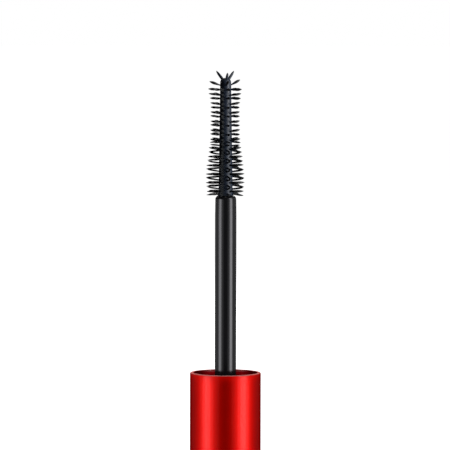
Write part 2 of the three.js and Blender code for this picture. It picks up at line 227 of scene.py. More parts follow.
# Girths, as factors of a shape's radius.
TOP_GIRTH = 1.2  # of the top ring's bristles; it falls to 1 over the next rings
TOP_GIRTH_RINGS = 3
FORK_GIRTH = 0.82
CROWDED_GIRTH = 0.68
COLLAR_GIRTH = 1.15
GIRTH_LEAN = 0.08  # how much stouter the bristles are on the right than in the middle

# How much the bristles of the rows differ at random, each way.
DRAW = random.Random(7)
TURN_JITTER = 1.5  # degrees
REACH_JITTER = 0.015
RISE_JITTER = 0.05 * MM
BOW_JITTER = 0.015

# ---------- mesh helpers ----------

ON_AXIS = 1e-9  # a profile point this near the axis is one point, not a ring


def add_piece(name, points, faces, material, node, sharp_degrees=35):
    """One smooth-shaded piece that stands for a CAD node and rides on the object's one body."""
    mesh = bpy.data.meshes.new(name)
    mesh.from_pydata(points, [], faces)
    mesh.validate()
    mesh.shade_smooth()
    mesh.set_sharp_from_angle(angle=math.radians(sharp_degrees))
    mesh.materials.append(material)
    piece = bpy.data.objects.new(name, mesh)
    bpy.context.scene.collection.objects.link(piece)
    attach(piece, "root")
    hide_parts(node)


def smooth_step(value):
    """0 to 1 with level ends, as the value goes from 0 to 1."""
    value = min(1, max(0, value))
    return value * value * (3 - 2 * value)


def round_points(centre_r, centre_z, radius, start, end, steps):
    """Points of a round in a lathe profile, from one angle to another in degrees."""
    points = []
    for i in range(steps + 1):
        angle = math.radians(start + (end - start) * i / steps)
        points.append((centre_r + radius * math.cos(angle), centre_z + radius * math.sin(angle)))
    return points


def lathe(profile, sides, looped=False):
    """Points and faces of a body of revolution about Z. The profile runs with the solid on its left.
    It starts and ends on the axis, or it is looped and closes on itself."""
    points = []
    rings = []
    for r, z in profile:
        if r < ON_AXIS:
            rings.append([len(points)] * sides)
            points.append((0.0, 0.0, z))
            continue
        rings.append(list(range(len(points), len(points) + sides)))
        for k in range(sides):
            angle = 2 * math.pi * k / sides
            points.append((r * math.cos(angle), r * math.sin(angle), z))
    faces = []
    pairs = list(zip(rings, rings[1:]))
    if looped:
        pairs.append((rings[-1], rings[0]))
    for low, high in pairs:
        for k in range(sides):
            corner = [low[k], low[(k + 1) % sides], high[(k + 1) % sides], high[k]]
            faces.append(tuple(dict.fromkeys(corner)))
    return points, faces


def skin(sections):
    """Points and faces of a closed skin over sections that have equally many points."""
    count = len(sections[0])
    points = [point for section in sections for point in section]
    faces = [tuple(reversed(range(count)))]
    for i in range(len(sections) - 1):
        for k in range(count):
            a = i * count + k
            b = i * count + (k + 1) % count
            faces.append((a, b, b + count, a + count))
    faces.append(tuple((len(sections) - 1) * count + k for k in range(count)))
    return points, faces


def joined(parts):
    """One list of points and one of faces from several closed shells."""
    points = []
    faces = []
    for part_points, part_faces in parts:
        start = len(points)
        points.extend(part_points)
        faces.extend(tuple(start + i for i in face) for face in part_faces)
    return points, faces


# ---------- material helpers ----------

NOISE_LOW, NOISE_HIGH = 0.3, 0.7  # what a noise mostly stays between


def new_material(name, metallic):
    """A material with one Principled shader, and its node tree."""
    material = bpy.data.materials.new(name)
    material.use_nodes = True
    shader = material.node_tree.nodes["Principled BSDF"]
    shader.inputs["Metallic"].default_value = metallic
    shader.inputs["IOR"].default_value = 1.5
    return material, material.node_tree, shader


def object_noise(tree, scale, detail, stretch=(1, 1, 1)):
    """Noise in the object's own space, its scale in cells per metre along each axis."""
    coordinates = tree.nodes.new("ShaderNodeTexCoord")
    mapping = tree.nodes.new("ShaderNodeMapping")
    mapping.inputs["Scale"].default_value = stretch
    noise = tree.nodes.new("ShaderNodeTexNoise")
    noise.inputs["Scale"].default_value = scale
    noise.inputs["Detail"].default_value = detail
    tree.links.new(coordinates.outputs["Object"], mapping.inputs["Vector"])
    tree.links.new(mapping.outputs["Vector"], noise.inputs["Vector"])
    return noise.outputs["Fac"]


def vary_number(tree, factor, socket, low, high):
    """Drives a shader number between two values by a noise."""
    ranged = tree.nodes.new("ShaderNodeMapRange")
    ranged.inputs["From Min"].default_value = NOISE_LOW
    ranged.inputs["From Max"].default_value = NOISE_HIGH
    ranged.inputs["To Min"].default_value = low
    ranged.inputs["To Max"].default_value = high
    tree.links.new(factor, ranged.inputs["Value"])
    tree.links.new(ranged.outputs["Result"], socket)


def colour_ramp(tree, factor, dark, light):
    """A colour that a noise moves between two colours."""
    ramp = tree.nodes.new("ShaderNodeValToRGB")
    ramp.color_ramp.elements[0].position = NOISE_LOW
    ramp.color_ramp.elements[1].position = NOISE_HIGH
    ramp.color_ramp.elements[0].color = (*dark, 1)
    ramp.color_ramp.elements[1].color = (*light, 1)
    tree.links.new(factor, ramp.inputs["Fac"])
    return ramp.outputs["Color"]


def vary_colour(tree, factor, shader, dark, light):
    """Drives the shader's colour between two colours by a noise."""
    tree.links.new(colour_ramp(tree, factor, dark, light), shader.inputs["Base Color"])


def mixed_colour(tree, factor, first, second):
    """The first colour where the factor is 0, the second where it is 1."""
    mix = tree.nodes.new("ShaderNodeMix")
    mix.data_type = "RGBA"
    tree.links.new(factor, mix.inputs["Factor"])
    tree.links.new(first, mix.inputs["A"])
    tree.links.new(second, mix.inputs["B"])
    return mix.outputs["Result"]


def height_and_radius(tree):
    """A point's height and its distance from the object's axis."""
    coordinates = tree.nodes.new("ShaderNodeTexCoord")
    split = tree.nodes.new("ShaderNodeSeparateXYZ")
    flat = tree.nodes.new("ShaderNodeCombineXYZ")
    radius = tree.nodes.new("ShaderNodeVectorMath")
    radius.operation = "LENGTH"
    tree.links.new(coordinates.outputs["Object"], split.inputs["Vector"])
    tree.links.new(split.outputs["X"], flat.inputs["X"])
    tree.links.new(split.outputs["Y"], flat.inputs["Y"])
    tree.links.new(flat.outputs["Vector"], radius.inputs[0])
    return split.outputs["Z"], radius.outputs["Value"]


def place_factor(tree, source, low, high):
    """0 to 1 as a length in the object's own space goes from low to high."""
    ranged = tree.nodes.new("ShaderNodeMapRange")
    ranged.inputs["From Min"].default_value = low
    ranged.inputs["From Max"].default_value = high
    tree.links.new(source, ranged.inputs["Value"])
    return ranged.outputs["Result"]


def add_bump(tree, factor, shader, depth):
    """Fine relief of a given depth in metres."""
    bump = tree.nodes.new("ShaderNodeBump")
    bump.inputs["Strength"].default_value = 1.0
    bump.inputs["Distance"].default_value = depth
    tree.links.new(factor, bump.inputs["Height"])
    tree.links.new(bump.outputs["Normal"], shader.inputs["Normal"])


# ---------- materials ----------


def anodised_red():
    """Dyed and sealed aluminium: a satin red metal under a thin clear skin. The bore is painted darker, as
    shade in the recess; the rim's outer edge is bright-cut, so its dye is thin."""
    material, tree, shader = new_material("anodised_red", metallic=1.0)
    shader.inputs["Coat Weight"].default_value = 0.06
    shader.inputs["Coat IOR"].default_value = 2.4
    shader.inputs["Coat Roughness"].default_value = 0.09
    shader.inputs["Specular Tint"].default_value = (1.0, 0.08, 0.08, 1)
    turning = object_noise(tree, 900, detail=4, stretch=(1, 1, 6))
    clouds = object_noise(tree, 120, detail=2)
    outside = colour_ramp(tree, clouds, (0.51, 0.0020, 0.0005), (0.55, 0.0028, 0.0007))
    # Painted shade: the whole inside of the cap is a darker red, standing in for the shade that falls in the
    # recess.
    bore = colour_ramp(tree, clouds, (0.20, 0.0006, 0.0030), (0.24, 0.0008, 0.0040))
    edge = colour_ramp(tree, clouds, (0.66, 0.34, 0.32), (0.72, 0.39, 0.37))
    height, radius = height_and_radius(tree)
    at_rim = place_factor(tree, height, *[RIM_Z - share * RIM_EDGE for share in BRIGHT_CUT])
    off_bore = place_factor(tree, radius, *[CAP_BORE + distance for distance in BORE_PAINTED_SHADE])
    visible = mixed_colour(tree, at_rim, outside, edge)
    tree.links.new(mixed_colour(tree, off_bore, bore, visible), shader.inputs["Base Color"])
    brushed = tree.nodes.new("ShaderNodeMath")
    brushed.operation = "MULTIPLY_ADD"
    brushed.inputs[1].default_value = RIM_ROUGHENING
    tree.links.new(place_factor(tree, height, RIM_Z - RIM_BAND, RIM_Z), brushed.inputs[0])
    vary_number(tree, turning, brushed.inputs[2], 0.46, 0.50)
    tree.links.new(brushed.outputs["Value"], shader.inputs["Roughness"])
    add_bump(tree, turning, shader, 0.4e-6)
    return material


def glossy_black():
    """Polished black moulding of the stem."""
    material, tree, shader = new_material("glossy_black", metallic=0.0)
    clouds = object_noise(tree, 400, detail=3, stretch=(1, 1, 0.15))
    ripple = object_noise(tree, 1500, detail=2, stretch=(1, 1, 0.1))
    vary_colour(tree, clouds, shader, (0.005, 0.005, 0.0055), (0.007, 0.007, 0.008))
    vary_number(tree, clouds, shader.inputs["Roughness"], 0.10, 0.15)
    shader.inputs["Specular Tint"].default_value = (0.96, 0.95, 1.0, 1)
    add_bump(tree, ripple, shader, 0.2e-6)
    return material


def satin_black():
    """Spark-textured black moulding of the threaded insert."""
    material, tree, shader = new_material("satin_black", metallic=0.0)
    grain = object_noise(tree, 6000, detail=2)
    vary_colour(tree, grain, shader, (0.009, 0.009, 0.011), (0.015, 0.015, 0.017))
    vary_number(tree, grain, shader.inputs["Roughness"], 0.42, 0.55)
    add_bump(tree, grain, shader, 3e-6)
    return material


def elastomer_black():
    """Soft black elastomer of the brush: slightly bluish on the core, neutral on the bristles."""
    material, tree, shader = new_material("elastomer_black", metallic=0.0)
    mottle = object_noise(tree, 2500, detail=3)
    core = colour_ramp(tree, mottle, (0.017, 0.024, 0.041), (0.025, 0.036, 0.058))
    bristles = colour_ramp(tree, mottle, (0.009, 0.010, 0.011), (0.014, 0.016, 0.017))
    _, radius = height_and_radius(tree)
    off_core = place_factor(tree, radius, BRUSH_BASE_RADIUS, BRUSH_BASE_RADIUS + TINT_FADE)
    tree.links.new(mixed_colour(tree, off_core, core, bristles), shader.inputs["Base Color"])
    vary_number(tree, mottle, shader.inputs["Roughness"], 0.30, 0.42)
    add_bump(tree, mottle, shader, 4e-6)
    return material


def zinc_steel():
    """Plated steel of the weight."""
    material, tree, shader = new_material("zinc_steel", metallic=1.0)
    turning = object_noise(tree, 700, detail=4, stretch=(1, 1, 10))
    vary_colour(tree, turning, shader, (0.38, 0.39, 0.41), (0.55, 0.56, 0.58))
    vary_number(tree, turning, shader.inputs["Roughness"], 0.28, 0.45)
    add_bump(tree, turning, shader, 4e-6)
    return material


def grey_foam():
    """Closed-cell foam of the pad."""
    material, tree, shader = new_material("grey_foam", metallic=0.0)
    cells = object_noise(tree, 5000, detail=4)
    vary_colour(tree, cells, shader, (0.03, 0.03, 0.032), (0.07, 0.07, 0.072))
    vary_number(tree, cells, shader.inputs["Roughness"], 0.85, 0.98)
    add_bump(tree, cells, shader, 40e-6)
    return material


def washer_white():
    """Soft off-white elastomer of the seal."""
    material, tree, shader = new_material("washer_white", metallic=0.0)
    mottle = object_noise(tree, 1500, detail=3)
    vary_colour(tree, mottle, shader, (0.62, 0.61, 0.56), (0.72, 0.71, 0.66))
    vary_number(tree, mottle, shader.inputs["Roughness"], 0.6, 0.75)
    add_bump(tree, mottle, shader, 5e-6)
    return material


# ---------- the cap's pieces ----------


def wall_points(radius, shares):
    """Points on the cap's upright wall, at shares of its height."""
    return [(radius, FLOOR_Z + (RIM_Z - FLOOR_Z) * share) for share in shares]


def make_cap_shell():
    """The metal shell: flat closed end, upright wall and a finely rounded rim."""
    flat_end = CAP_RADIUS - CAP_END_EDGE
    end_z = FLOOR_Z + CAP_END_THICKNESS
    profile = [(flat_end * share, FLOOR_Z) for share in (0, 0.5, 0.95)]
    profile += round_points(flat_end, FLOOR_Z + CAP_END_EDGE, CAP_END_EDGE, -90, 0, steps=12)
    profile += wall_points(CAP_RADIUS, (0.05, 0.5, 0.97))
    profile += round_points(CAP_RADIUS - RIM_EDGE, RIM_Z - RIM_EDGE, RIM_EDGE, 0, 90, steps=8)
    profile += round_points(
        CAP_BORE + RIM_INNER_EDGE, RIM_Z - RIM_INNER_EDGE, RIM_INNER_EDGE, 90, 180, steps=4
    )
    profile += wall_points(CAP_BORE, (0.97, 0.5, 0.06))
    profile += round_points(
        CAP_BORE - CAP_INNER_EDGE, end_z + CAP_INNER_EDGE, CAP_INNER_EDGE, 0, -90, steps=6
    )
    profile += [(0, end_z)]
    points, faces = lathe(profile, sides=192)
    add_piece("cap_shell_satin", points, faces, anodised_red(), "cap_shell")


def make_weight():
    """The steel slug, chamfered at both ends."""
    profile = [
        (0, WEIGHT_LOW),
        (WEIGHT_RADIUS - WEIGHT_CHAMFER, WEIGHT_LOW),
        (WEIGHT_RADIUS, WEIGHT_LOW + WEIGHT_CHAMFER),
        (WEIGHT_RADIUS, WEIGHT_HIGH - WEIGHT_CHAMFER),
        (WEIGHT_RADIUS - WEIGHT_CHAMFER, WEIGHT_HIGH),
        (0, WEIGHT_HIGH),
    ]
    points, faces = lathe(profile, sides=128)
    add_piece("cap_weight_turned", points, faces, zinc_steel(), "cap_weight")


def edge_points(r, z, r_side, z_side, start):
    """A small round on a corner of a lathed piece, from an angle in degrees. The sides say where the
    solid is: 1 outwards or up, -1 inwards or down."""
    centre_r = r + r_side * SMALL_EDGE
    centre_z = z + z_side * SMALL_EDGE
    return round_points(centre_r, centre_z, SMALL_EDGE, start, start + 90, steps=3)


def make_pad():
    """The foam disc under the weight."""
    profile = [(0, PAD_LOW)]
    profile += edge_points(PAD_RADIUS, PAD_LOW, -1, 1, -90)
    profile += edge_points(PAD_RADIUS, PAD_HIGH, -1, -1, 0)
    profile += [(0, PAD_HIGH)]
    points, faces = lathe(profile, sides=96)
    add_piece("weight_pad_foam", points, faces, grey_foam(), "weight_pad")


def make_washer():
    """The flat ring on the insert's floor."""
    profile = edge_points(WASHER_RADIUS, WASHER_LOW, -1, 1, -90)
    profile += edge_points(WASHER_RADIUS, WASHER_HIGH, -1, -1, 0)
    profile += edge_points(WASHER_HOLE, WASHER_HIGH, 1, -1, 90)
    profile += edge_points(WASHER_HOLE, WASHER_LOW, 1, 1, 180)
    points, faces = lathe(profile, sides=128, looped=True)
    add_piece("seal_washer_soft", points, faces, washer_white(), "seal_washer")


def insert_tube():
    """The insert's tube, floor and boss, with a rounded and a chamfered edge at its mouth."""
    skirt = TUBE_RADIUS - INSERT_WALL
    profile = [
        (BOSS_BORE, INSERT_FLOOR_Z - BOSS_LENGTH),
        (BOSS_RADIUS, INSERT_FLOOR_Z - BOSS_LENGTH),
        (BOSS_RADIUS, INSERT_FLOOR_Z - INSERT_FLOOR),
        (skirt, INSERT_FLOOR_Z - INSERT_FLOOR),
        (skirt, SKIRT_Z),
        (TUBE_RADIUS, SKIRT_Z),
    ]
    profile += round_points(TUBE_RADIUS - SMALL_EDGE, MOUTH_Z - SMALL_EDGE, SMALL_EDGE, 0, 90, steps=4)
    profile += [
        (THREAD_ROOT + INSERT_LEAD_IN, MOUTH_Z),
        (THREAD_ROOT, MOUTH_Z - INSERT_LEAD_IN),
        (THREAD_ROOT, INSERT_FLOOR_Z),
        (BOSS_BORE, INSERT_FLOOR_Z),
    ]
    return lathe(profile, sides=128, looped=True)


def thread_section(turn):
    """The thread's outline at a number of turns from its lower end: radius and height of each point."""
    rise = smooth_step(min(turn, THREAD_TURNS - turn) / THREAD_FADE)
    sunk = THREAD_ROOT + THREAD_HIDDEN
    crest = sunk + (THREAD_CREST - sunk) * rise
    middle = MOUTH_Z - THREAD_START - THREAD_PITCH * (THREAD_TURNS - turn)
    root = THREAD_ROOT + THREAD_BITE
    edge_depth, edge_width = CREST_EDGE
    half_crest = THREAD_CREST_WIDTH / 2
    lower = [
        (root, -THREAD_ROOT_WIDTH / 2),
        (crest + edge_depth, -half_crest - edge_width),
        (crest, -half_crest),
    ]
    upper = [(r, -z) for r, z in reversed(lower)]
    return [(r, middle + z) for r, z in lower + upper]


def insert_thread():
    """The insert's right-hand thread, a closed band whose ends sink into the wall."""
    sections = []
    for i in range(round(THREAD_TURNS * THREAD_STEPS) + 1):
        turn = i / THREAD_STEPS
        angle = 2 * math.pi * turn
        sections.append([(r * math.cos(angle), r * math.sin(angle), z) for r, z in thread_section(turn)])
    return skin(sections)


def radial_plate(inner_r, outer_r, thickness, low_z, length, angle):
    """A plate that stands radially between two radii."""
    outward = Vector((math.cos(angle), math.sin(angle), 0))
    aside = Vector((-math.sin(angle), math.cos(angle), 0)) * (thickness / 2)
    sections = []
    for z in (low_z, low_z + length):
        corners = []
        for r, side in ((inner_r, -1), (outer_r, -1), (outer_r, 1), (inner_r, 1)):
            corner = outward * r + aside * side
            corners.append((corner.x, corner.y, z))
        sections.append(corners)
    return skin(sections)


def insert_webs():
    """The webs between the insert's boss and its skirt."""
    inner = BOSS_RADIUS - WEB_BITE
    outer = TUBE_RADIUS - INSERT_WALL + WEB_BITE
    low_z = INSERT_FLOOR_Z - INSERT_FLOOR / 2 - WEB_LENGTH
    angles = [2 * math.pi * (i + 0.5) / WEB_COUNT for i in range(WEB_COUNT)]
    return [radial_plate(inner, outer, WEB_THICKNESS, low_z, WEB_LENGTH, angle) for angle in angles]


def insert_ribs():
    """The crush ribs that grip the cap."""
    inner = TUBE_RADIUS - RIB_BITE
    low_z = MOUTH_Z - RIB_DROP - RIB_LENGTH
    angles = [2 * math.pi * i / RIB_COUNT for i in range(RIB_COUNT)]
    return [radial_plate(inner, INSERT_RADIUS, RIB_WIDTH, low_z, RIB_LENGTH, angle) for angle in angles]


def make_insert():
    """The plastic insert that screws onto the vial and holds the stem."""
    points, faces = joined([insert_tube(), insert_thread(), *insert_webs(), *insert_ribs()])
    add_piece("threaded_insert_moulded", points, faces, satin_black(), "threaded_insert")


# ---------- the wand ----------


def make_stem():
    """The stem, from the hollow spigot in the boss to the socket in its rounded shoulder."""
    flange_z = WASHER_LOW
    flange_top = flange_z + FLANGE_THICKNESS
    hole_top = SHOULDER_Z - SOCKET_DEPTH - SOCKET_WEB
    snap_z = flange_z - SNAP_DEPTH
    lead_in, lead_length = SPIGOT_LEAD_IN
    profile = [
        (0, hole_top),
        (CORE_HOLE_RADIUS, hole_top),
        (CORE_HOLE_RADIUS, SPIGOT_Z),
        (SPIGOT_RADIUS - lead_in, SPIGOT_Z),
        (SPIGOT_RADIUS, SPIGOT_Z + lead_length),
        (SPIGOT_RADIUS, snap_z),
        (SPIGOT_RADIUS + SNAP_HEIGHT, snap_z + SNAP_LENGTH / 2),
        (SPIGOT_RADIUS + SNAP_HEIGHT, snap_z + SNAP_LENGTH),
        (SPIGOT_RADIUS, snap_z + SNAP_LENGTH),
        (SPIGOT_RADIUS, flange_z),
        (FLANGE_RADIUS, flange_z),
    ]
    profile += round_points(
        FLANGE_RADIUS - FLANGE_EDGE, flange_top - FLANGE_EDGE, FLANGE_EDGE, 0, 90, steps=3
    )
    profile += [(STEM_RADIUS, flange_top)]
    straight = SHOULDER_Z - STEM_TAPER - RIM_Z
    profile += [(STEM_RADIUS, RIM_Z + straight * share) for share in (0, 0.5, 1)]
    profile += round_points(
        STEM_TIP_RADIUS - SHOULDER_ROUND, SHOULDER_Z - SHOULDER_ROUND, SHOULDER_ROUND, 0, 90, steps=10
    )
    profile += [
        (SOCKET_RADIUS, SHOULDER_Z),
        (SOCKET_RADIUS, SHOULDER_Z - SOCKET_DEPTH),
        (0, SHOULDER_Z - SOCKET_DEPTH),
    ]
    points, faces = lathe(profile, sides=128)
    add_piece("wand_stem_polished", points, faces, glossy_black(), "wand_stem")


# ---------- the brush ----------


def core_radius(z):
    """The core tapers evenly from the shoulder to the foot of its dome."""
    along = (z - SHOULDER_Z) / (DOME_FOOT - SHOULDER_Z)
    along = min(1, max(0, along))
    return BRUSH_BASE_RADIUS + (BRUSH_TIP_RADIUS - BRUSH_BASE_RADIUS) * along


def reach(z):
    """Distance of the bristle tips from the axis: a belly near the base, a waist, a flare at the top."""
    rise = (z - SHOULDER_Z) / MM
    for (low, low_reach), (high, high_reach) in zip(REACH, REACH[1:]):
        if rise < high:
            return (low_reach + (high_reach - low_reach) * smooth_step((rise - low) / (high - low))) * MM
    return REACH[-1][1] * MM


def brush_core():
    """The core with the plug below it, its flared foot and its blunt dome."""
    plug = SOCKET_RADIUS - SEAT_GAP
    lead_in, lead_length = PLUG_LEAD_IN
    profile = [
        (0, PLUG_Z),
        (plug - lead_in, PLUG_Z),
        (plug, PLUG_Z + lead_length),
        (plug, SHOULDER_Z),
    ]
    profile += [(BRUSH_BASE_RADIUS + wider * MM, SHOULDER_Z + rise * MM) for wider, rise in CORE_FOOT]
    for i in range(1, CORE_STEPS):
        z = SHOULDER_Z + (DOME_FOOT - SHOULDER_Z) * i / CORE_STEPS
        profile.append((core_radius(z), z))
    across, up = DOME_POWERS
    for i in range(DOME_STEPS):
        angle = math.pi / 2 * i / DOME_STEPS
        r = BRUSH_TIP_RADIUS * math.cos(angle) ** across
        profile.append((r, DOME_TOP - DOME_HEIGHT * (1 - math.sin(angle) ** up)))
    profile.append((0, DOME_TOP))
    return lathe(profile, sides=64)


def bristle(root, tip, bow=0.0, girth=1.0, shape=BRISTLE_SHAPE):
    """Points and faces of one pointed bristle. It bows upwards by a share of its length."""
    along = tip - root
    side = along.cross(Vector((0, 0, 1))).normalized()
    up = side.cross(along).normalized()
    sections = []
    for share, radius in shape:
        centre = root + along * share + up * (bow * along.length * math.sin(math.pi * share))
        section = []
        for k in range(BRISTLE_SIDES):
            angle = 2 * math.pi * k / BRISTLE_SIDES
            offset = (side * math.cos(angle) + up * math.sin(angle)) * (radius * girth * MM)
            section.append(tuple(centre + offset))
        sections.append(section)
    return skin(sections)


def row_bristle(angle, root_z, lift, length_share=1.0, girth=1.0, shape=BRISTLE_SHAPE):
    """A bristle of a lengthwise row: where it leaves the core, and its tip's height over that."""
    turn = angle + math.radians(DRAW.uniform(-TURN_JITTER, TURN_JITTER))
    outward = Vector((math.cos(turn), math.sin(turn), 0))
    length_share *= DRAW.uniform(1 - REACH_JITTER, 1 + REACH_JITTER)
    tip = outward * (reach(root_z + lift) * length_share - REACH_LEAN * math.cos(angle))
    tip.z = root_z + lift + DRAW.uniform(-RISE_JITTER, RISE_JITTER)
    root = Vector((math.cos(angle), math.sin(angle), 0)) * (core_radius(root_z) * ROOT_SHARE)
    root.z = root_z
    stout = girth * (1 + GIRTH_LEAN * math.cos(angle))
    return bristle(root, tip, DRAW.uniform(-BOW_JITTER, BOW_JITTER), stout, shape)


def row_angle(row):
    """The direction of a lengthwise row, from +X."""
    return FIRST_ROW + 2 * math.pi * row / ROW_COUNT


def ring_height(ring):
    """Height of a level ring, counted from the top; the pitch is finer on the lower half."""
    wide = min(ring, WIDE_RINGS)
    return DOME_TOP - TOP_RING_DROP - RING_PITCH * wide - LOW_RING_PITCH * (ring - wide)


def bristle_pair(ring, row):
    """Two bristles, one over the other, whose tips come together. The lowest ring and some of the rows
    have the upper one only."""
    if row in SINGLE_ROWS:
        share = SINGLE_MEET
    elif ring == FORKED_FROM:
        share = FIRST_FORK_MEET
    else:
        share = FORK_MEET
    half = FORK_SPREAD / 2
    meet = half * share
    angle = row_angle(row)
    ring_z = ring_height(ring)
    pair = [row_bristle(angle, ring_z + half, -meet, 1.0, FORK_GIRTH, LOW_SHAPE)]
    if ring < RING_COUNT - 1 and row not in SINGLE_ROWS:
        pair.append(row_bristle(angle, ring_z - half, meet, LOWER_FORK_LENGTH, FORK_GIRTH, LOW_SHAPE))
    return pair


def level_ring(ring):
    """Every second row has level bristles; low on the brush they come in pairs."""
    rows = [row for row in range(ROW_COUNT) if row % 2 == 0 or row in DENSE_ROWS]
    if ring >= FORKED_FROM:
        return [part for row in rows for part in bristle_pair(ring, row)]
    girth = 1 + (TOP_GIRTH - 1) * max(0, 1 - ring / TOP_GIRTH_RINGS)
    return [row_bristle(row_angle(row), ring_height(ring), LEVEL_LIFT, 1.0, girth) for row in rows]


def raised_ring(ring):
    """The rows between have bristles that rise a little, and are level low on the brush."""
    if ring > FORKED_FROM:
        ring_z = ring_height(ring) - LOW_RING_PITCH / 2
        lift = 0.0
    else:
        ring_z = ring_height(ring) - RAISED_RING_DROP
        lift = math.tan(RAISED_TILT) * (reach(ring_z) - core_radius(ring_z))
    rows = [row for row in range(ROW_COUNT) if row % 2 or row in DENSE_ROWS]
    shape = LOW_SHAPE if ring >= FORKED_FROM else BRISTLE_SHAPE
    parts = [row_bristle(row_angle(row), ring_z, lift, shape=shape) for row in rows]
    for share in COMB_SHARES:
        parts.append(row_bristle(row_angle(COMB_ROW), ring_height(ring) - share * RING_PITCH, lift))
    return parts


def crowded_bristles():
    """Short bristles between some of the rows, a little over the rings' own."""
    parts = []
    for degrees, first, end in CROWDED:
        angle = math.radians(degrees)
        for half_ring in range(first, end):
            ring, raised = divmod(half_ring, 2)
            root_z = ring_height(ring) + CROWDED_RISE - raised * RAISED_RING_DROP
            parts.append(row_bristle(angle, root_z, CROWDED_LIFTS[raised], CROWDED_LENGTH, CROWDED_GIRTH))
    return parts


def top_bristle(degrees, root_r, root_z, tip_r, tip_z, girth=1.0, shape=BRISTLE_SHAPE):
    """A straight bristle at the top of the brush, in a direction from +X."""
    angle = math.radians(degrees)
    outward = Vector((math.cos(angle), math.sin(angle), 0))
    root = outward * root_r
    root.z = root_z
    tip = outward * tip_r
    tip.z = tip_z
    return bristle(root, tip, girth=girth, shape=shape)


def collar():
    """Four rising bristles around the core just under its dome."""
    root_r = BRUSH_TIP_RADIUS * ROOT_SHARE
    root_z = DOME_TOP - COLLAR_DROP
    return [
        top_bristle(degrees, root_r, root_z, tip_r * MM, root_z + rise * MM, COLLAR_GIRTH)
        for degrees, tip_r, rise in COLLAR
    ]


def crown():
    """Three splayed bristles on the dome."""
    root_r = BRUSH_TIP_RADIUS * CROWN_ROOT_SHARE
    root_z = DOME_TOP - CROWN_DROP
    return [
        top_bristle(degrees, root_r, root_z, tip_r * MM, DOME_TOP + rise * MM, shape=CROWN_SHAPE)
        for degrees, tip_r, rise in CROWN
    ]


def lean(z):
    """How far the brush stands off the stem's axis to the left; its plug doesn't."""
    if z < SHOULDER_Z:
        return 0
    return LEAN_AT_BASE + (LEAN_AT_TOP - LEAN_AT_BASE) * (z - SHOULDER_Z) / BRUSH_RISE


def make_brush():
    """The brush: its core, the bristles at its top, the rings and the crowded bristles between rows."""
    parts = [brush_core(), *crown(), *collar()]
    for ring in range(RING_COUNT):
        parts += level_ring(ring)
        if ring < RING_COUNT - 1:
            parts += raised_ring(ring)
    parts += crowded_bristles()
    points, faces = joined(parts)
    points = [(x - lean(z), y, z) for x, y, z in points]
    add_piece(
        "brush_moulded", points, faces, elastomer_black(), "brush", sharp_degrees=50
    )


# ---------- floor, light and camera ----------

AIM_Z = 87.395 * MM
CAMERA_X = -0.172 * MM
CAMERA_DISTANCE = 1.0
CAMERA_HEIGHT = 151.8 * MM
CAMERA_ROLL = math.radians(0.12)
FRAME_WIDTH = 107.62 * MM  # what the camera sees across, at the object
SENSOR_WIDTH = 36.0

STRIP_DISTANCE = 0.7
STRIP_HEIGHT = 1.2
STRIP_MIDDLE = 0.1
STRIP_STEP = 10  # degrees that one strip spans
STRIP_AZIMUTHS = range(25, 140, STRIP_STEP)  # degrees from the camera's side
SOFTBOX_EDGE = 0.27  # radiance at the softboxes' dim edges
# Each softbox's side, the azimuth of its middle, its spread in degrees, and its brightness there.
SOFTBOXES = ((-1, 62.4, 15.5, 4.5), (1, 60.8, 14.5, 5.8))
PANEL_SIZE = 0.5
# Round panels in the plane x = 0 that face the origin: name, y, z and radiance.
PANELS = (("overhead", 0.0, 0.9, 1.2), ("back_light", 0.8, 0.5, 2.6))
FLAG_AZIMUTH = math.radians(-60)
FLAG_FOOT = 0.008  # the card's distance from the axis at its lower and its upper edge
FLAG_TOP = 0.025
FLAG_WIDTH = 0.05
FLAG_HEIGHT = 0.05
FLAG_RISE = 0.5 * MM  # from the stem's shoulder up to its lower edge
ROOM_GLOW = 0.01
FLOOR_HALF = 6.0
FLOOR_GLOW_NEAR = 0.6
FLOOR_GLOW_FAR = 1.0
GLOW_FROM = 0.02  # distances from the object between which the floor's glow rises
GLOW_TO = 0.35


def flat_piece(name, corners, material):
    """A four-cornered piece of the scene that isn't part of the object."""
    mesh = bpy.data.meshes.new(name)
    mesh.from_pydata(corners, [], [(0, 1, 2, 3)])
    mesh.materials.append(material)
    piece = bpy.data.objects.new(name, mesh)
    bpy.context.scene.collection.objects.link(piece)
    return piece


def pale_floor():
    """Matt white that glows, less near the object, so that only a soft contact shadow shows."""
    material, tree, shader = new_material("pale_floor", metallic=0.0)
    shader.inputs["Base Color"].default_value = (0.8, 0.8, 0.8, 1)
    shader.inputs["Roughness"].default_value = 1.0
    shader.inputs["Specular IOR Level"].default_value = 0.0
    shader.inputs["Emission Color"].default_value = (1, 1, 1, 1)
    coordinates = tree.nodes.new("ShaderNodeTexCoord")
    distance = tree.nodes.new("ShaderNodeVectorMath")
    distance.operation = "LENGTH"
    glow = tree.nodes.new("ShaderNodeMapRange")
    glow.interpolation_type = "SMOOTHSTEP"
    glow.inputs["From Min"].default_value = GLOW_FROM
    glow.inputs["From Max"].default_value = GLOW_TO
    glow.inputs["To Min"].default_value = FLOOR_GLOW_NEAR
    glow.inputs["To Max"].default_value = FLOOR_GLOW_FAR
    tree.links.new(coordinates.outputs["Object"], distance.inputs[0])
    tree.links.new(distance.outputs["Value"], glow.inputs["Value"])
    tree.links.new(glow.outputs["Result"], shader.inputs["Emission Strength"])
    return material


def make_floor():
    """A wide floor that only the camera sees: it isn't reflected and lights nothing."""
    corners = [(x * FLOOR_HALF, y * FLOOR_HALF, 0) for x, y in ((-1, -1), (1, -1), (1, 1), (-1, 1))]
    floor = flat_piece("floor", corners, pale_floor())
    floor.visible_glossy = False
    floor.visible_diffuse = False
    floor.visible_shadow = False


